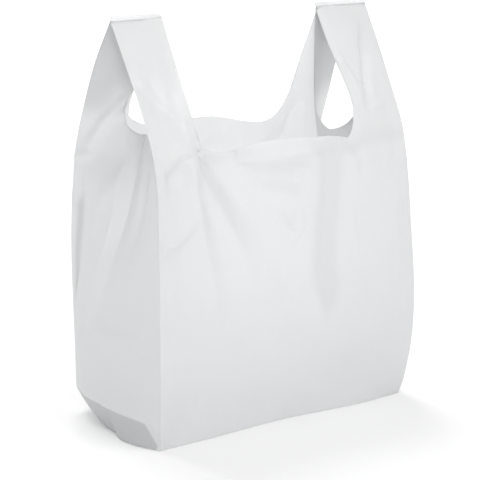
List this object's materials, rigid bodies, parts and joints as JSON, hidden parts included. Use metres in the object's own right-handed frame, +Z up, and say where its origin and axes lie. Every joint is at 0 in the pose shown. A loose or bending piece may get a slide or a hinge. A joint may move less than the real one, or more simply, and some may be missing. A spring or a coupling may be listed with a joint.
{
  "type": "plastic carrier bag",
  "caption": "White plastic film carrier bag standing open, with side gussets, a straight bottom weld, a U-cut mouth and welded loop handles.",
  "frame": {"origin": "middle of the bottom, on the surface the bag stands on", "axes": "+Z up to the handles, +X along the wide front panel, -Y out of the front panel"},
  "size_m": [0.292, 0.15, 0.384],
  "materials": {
    "film": "soft satin, slightly translucent"
  },
  "bodies": {
    "root": {"carrier_bag": "film"}
  },
  "joints": []
}
